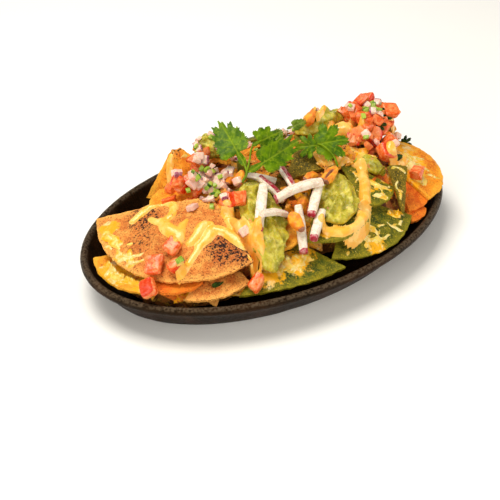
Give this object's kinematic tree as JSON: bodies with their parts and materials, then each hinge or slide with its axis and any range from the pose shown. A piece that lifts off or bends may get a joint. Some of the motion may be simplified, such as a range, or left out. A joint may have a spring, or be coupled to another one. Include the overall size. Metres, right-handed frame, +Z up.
{
  "type": "loaded nachos in an oval pan",
  "caption": "Tortilla chips heaped in an oval cast-iron pan under guacamole, cheese sauce, tomato, radish strips, toasted corn and coriander",
  "frame": {"origin": "the middle of the pan's flat underside", "axes": "+X along the pan's length, +Y across it, +Z up"},
  "size_m": [0.27, 0.1728, 0.0853],
  "materials": {
    "bed": "crushed chips, melted cheese and filling",
    "chilli": "fried chilli tortilla, orange red",
    "corn": "fried corn tortilla, dry and grainy",
    "guacamole": "moist mashed avocado",
    "iron": "seasoned black cast iron, pebbly, satin on the rim",
    "kernel": "toasted corn kernel, orange yellow",
    "leaf": "fresh coriander leaf, bright green with light veins",
    "radish": "moist cut radish, off-white",
    "radish_skin": "radish skin, magenta",
    "spinach": "fried spinach tortilla, dark green with flecks",
    "toasted": "fried corn tortilla, toasted in patches",
    "tomato": "moist cut tomato"
  },
  "bodies": {
    "root": {"bed": "bed", "chip_back_left": "corn", "chip_behind_guacamole": "corn", "chip_dark_back": "spinach", "chip_far_left": "corn", "chip_far_middle": "spinach", "chip_far_right": "corn", "chip_green_dish": "spinach", "chip_green_front": "spinach", "chip_green_low": "spinach", "chip_green_right": "spinach", "chip_left_end": "corn", "chip_middle_front": "corn", "chip_mound": "corn", "chip_orange_low": "chilli", "chip_orange_mid": "chilli", "chip_orange_right": "corn", "chip_red_front": "chilli", "chip_tan_front": "corn", "chip_toasted_front": "toasted", "chip_under_salsa": "corn", "chip_upright": "spinach", "coriander": "leaf", "corn_kernel_1": "kernel", "corn_kernel_2": "kernel", "corn_kernel_3": "kernel", "corn_kernel_4": "kernel", "corn_kernel_5": "kernel", "corn_kernel_6": "kernel", "corn_kernel_7": "kernel", "corn_kernel_8": "kernel", "green_salsa": "guacamole", "guacamole_back": "guacamole", "guacamole_left": "guacamole", "guacamole_middle": "guacamole", "guacamole_right": "guacamole", "pan": "iron", "radish_1": "radish_skin", "radish_2": "radish", "radish_3": "radish_skin", "radish_4": "radish", "radish_5": "radish", "radish_6": "radish", "radish_7": "radish", "radish_8": "radish", "radish_9": "radish", "tomato_1": "tomato", "tomato_10": "tomato", "tomato_11": "tomato", "tomato_12": "tomato", "tomato_13": "tomato", "tomato_14": "tomato", "tomato_2": "tomato", "tomato_3": "tomato", "tomato_4": "tomato", "tomato_5": "tomato", "tomato_6": "tomato", "tomato_7": "tomato", "tomato_8": "tomato", "tomato_9": "tomato"}
  },
  "joints": []
}
